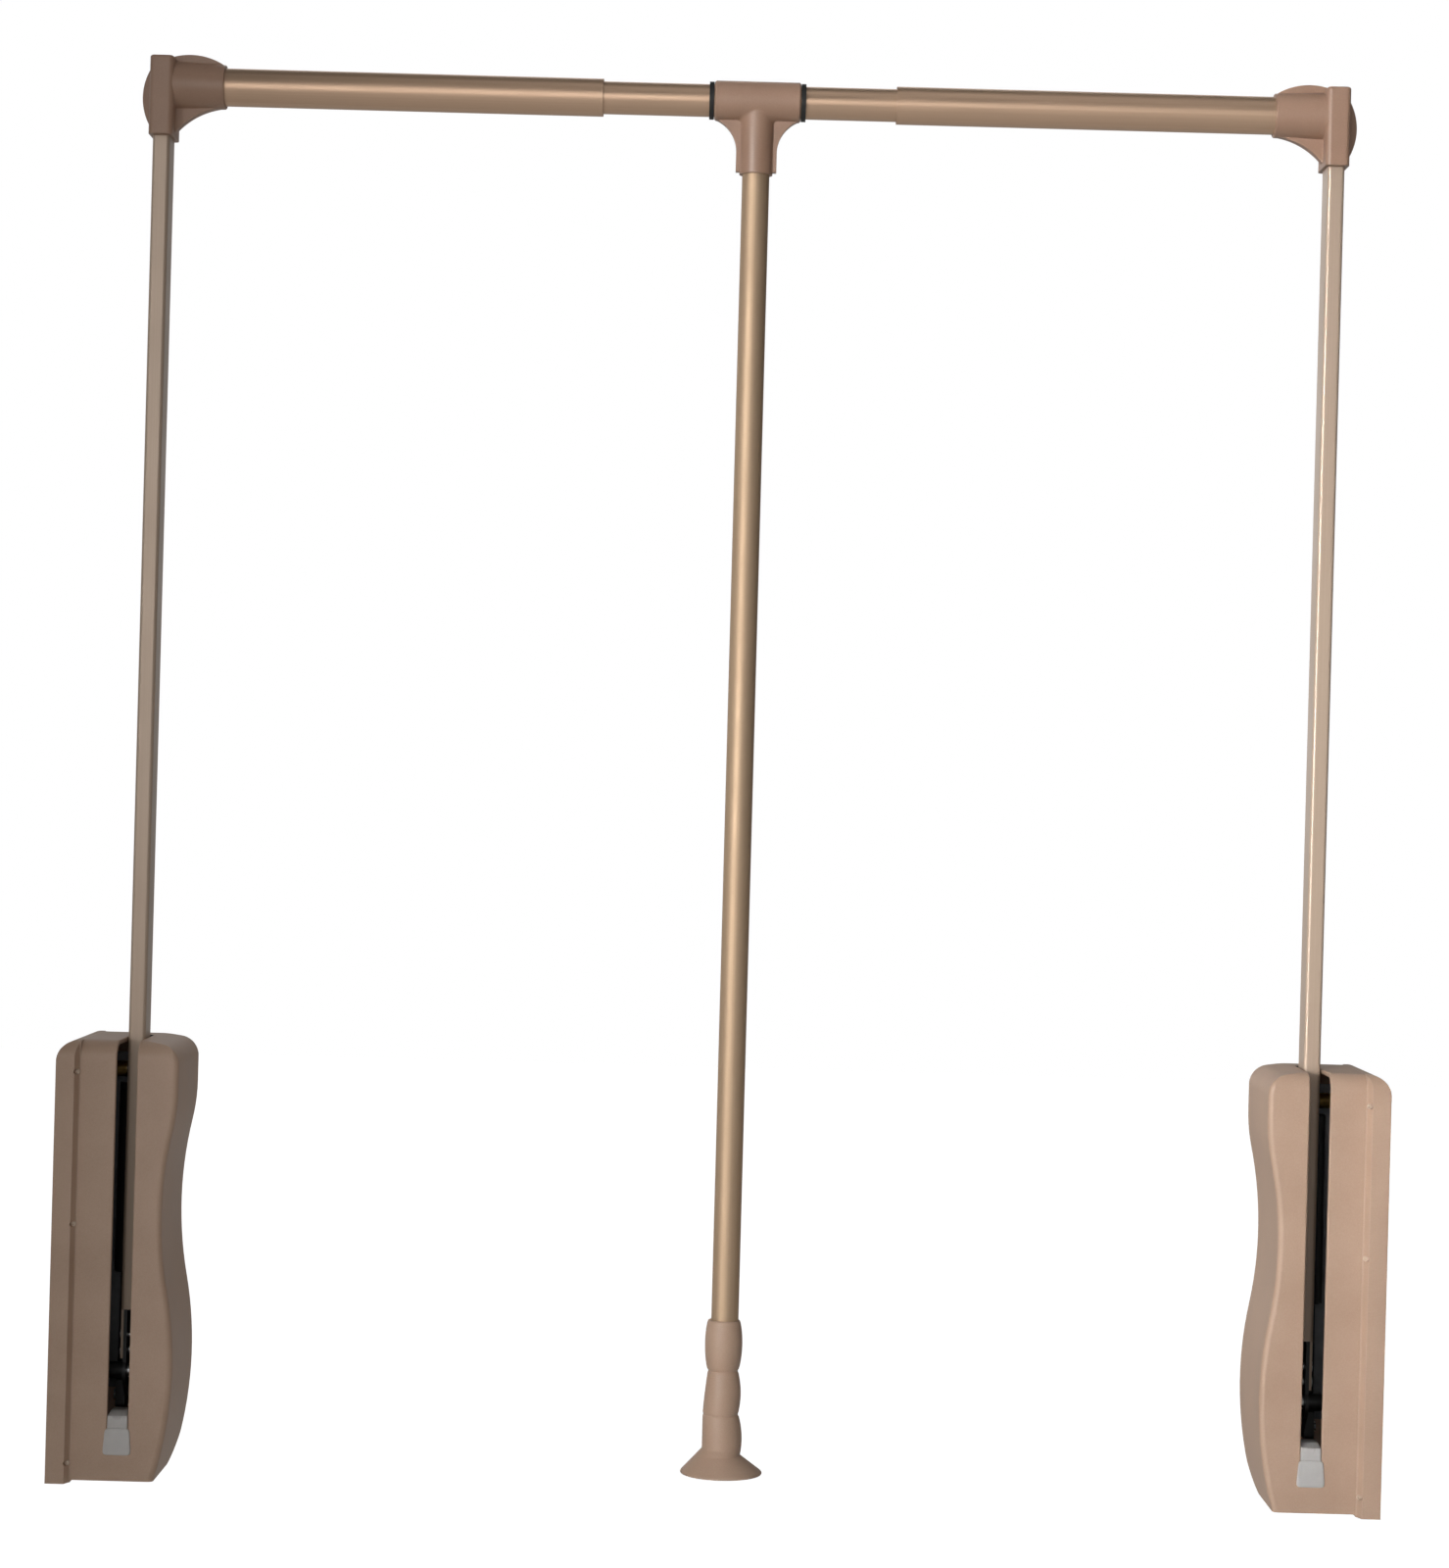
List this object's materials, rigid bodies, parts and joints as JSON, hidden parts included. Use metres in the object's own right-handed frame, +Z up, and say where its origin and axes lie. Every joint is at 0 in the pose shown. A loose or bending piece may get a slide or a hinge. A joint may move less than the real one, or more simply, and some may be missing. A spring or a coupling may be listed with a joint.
{
  "type": "pull down closet rod",
  "caption": "Pull-down wardrobe rail with two slotted side housings, swinging arms, gas struts, telescopic rail and a hanging pull handle.",
  "frame": {"origin": "midway between the two housings, level with their feet", "axes": "+X along the rail to the right, +Y to the back of the wardrobe, +Z up"},
  "size_m": [0.767, 0.092, 0.8305],
  "materials": {
    "champagne_abs": "satin moulded",
    "champagne_aluminium": "satin anodised",
    "champagne_steel": "satin powder coat",
    "grey_painted_steel": "satin",
    "black_steel": "satin",
    "zinc_steel": "zinc plated",
    "yellow_brass": "turned",
    "black_nylon": "matt",
    "black_rubber": "matt",
    "milky_polyethylene": "satin, slightly translucent"
  },
  "bodies": {
    "left_housing": {"left_base_shell": "champagne_abs", "left_cover": "champagne_abs", "left_cover_screws": "zinc_steel", "left_bumper": "milky_polyethylene", "left_arm_stop": "black_rubber", "left_chassis": "zinc_steel", "left_chassis_rivets": "zinc_steel", "left_pivot_pin": "zinc_steel", "left_pivot_bushes": "black_nylon", "left_pin_clips": "zinc_steel", "left_strut_top_pin": "zinc_steel", "left_strut_top_spacers": "yellow_brass", "left_strut_cylinder": "grey_painted_steel", "left_strut_seal": "black_nylon"},
    "left_arm": {"left_arm_bracket": "black_steel", "left_arm_rivets": "zinc_steel", "left_crank_pin": "zinc_steel", "left_arm_tube": "champagne_steel", "left_elbow": "champagne_abs", "left_elbow_screws": "zinc_steel", "left_outer_tube": "champagne_aluminium"},
    "left_rod": {"left_strut_rod": "black_steel", "left_strut_rod_end": "black_steel"},
    "right_housing": {"right_base_shell": "champagne_abs", "right_cover": "champagne_abs", "right_cover_screws": "zinc_steel", "right_bumper": "milky_polyethylene", "right_arm_stop": "black_rubber", "right_chassis": "zinc_steel", "right_chassis_rivets": "zinc_steel", "right_pivot_pin": "zinc_steel", "right_pivot_bushes": "black_nylon", "right_pin_clips": "zinc_steel", "right_strut_top_pin": "zinc_steel", "right_strut_top_spacers": "yellow_brass", "right_strut_cylinder": "grey_painted_steel", "right_strut_seal": "black_nylon"},
    "right_arm": {"right_arm_bracket": "black_steel", "right_arm_rivets": "zinc_steel", "right_crank_pin": "zinc_steel", "right_arm_tube": "champagne_steel", "right_elbow": "champagne_abs", "right_elbow_screws": "zinc_steel", "right_outer_tube": "champagne_aluminium"},
    "right_rod": {"right_strut_rod": "black_steel", "right_strut_rod_end": "black_steel"},
    "centre": {"centre_tube": "champagne_aluminium", "centre_tube_plugs": "black_nylon", "tee_rings": "black_rubber"},
    "handle": {"tee_connector": "champagne_abs", "tee_screw": "zinc_steel", "pull_rod": "champagne_aluminium", "grip": "champagne_abs"}
  },
  "joints": [
    {"name": "arm_swing", "type": "hinge", "parent": "left_housing", "child": "left_arm", "pos_m": [-0.3435, 0, 0.0585], "axis": [1, 0, 0], "range_deg": [0, 102], "stiffness_Nm_per_rad": 8, "springref_deg": -34.38},
    {"name": "left_rod_slide", "type": "slide", "parent": "left_housing", "child": "left_rod", "axis": [0, 0.0436, 0.999], "range_m": [0, 0.03109]},
    {"name": "left_telescope", "type": "slide", "parent": "left_arm", "child": "centre", "axis": [1, 0, 0], "range_m": [-0.06, 0.033]},
    {"name": "handle_swing", "type": "hinge", "parent": "centre", "child": "handle", "pos_m": [0.0045, 0, 0.8125], "axis": [1, 0, 0], "range_deg": [-120, 45]},
    {"name": "right_telescope", "type": "slide", "parent": "centre", "child": "right_arm", "axis": [1, 0, 0], "range_m": [-0.051, 0.033]},
    {"name": "right_pivot", "type": "hinge", "parent": "right_arm", "child": "right_housing", "pos_m": [0.3435, 0, 0.0585], "axis": [1, 0, 0], "range_deg": [-102, 0]},
    {"name": "right_rod_slide", "type": "slide", "parent": "right_housing", "child": "right_rod", "axis": [0, 0.0436, 0.999], "range_m": [0, 0.03109]}
  ],
  "couplings": [
    {"joint": "left_rod_slide", "follows": "arm_swing", "m_per_rad": 0.017462},
    {"joint": "right_pivot", "follows": "arm_swing", "ratio": -1},
    {"joint": "right_rod_slide", "follows": "arm_swing", "m_per_rad": 0.017462}
  ]
}
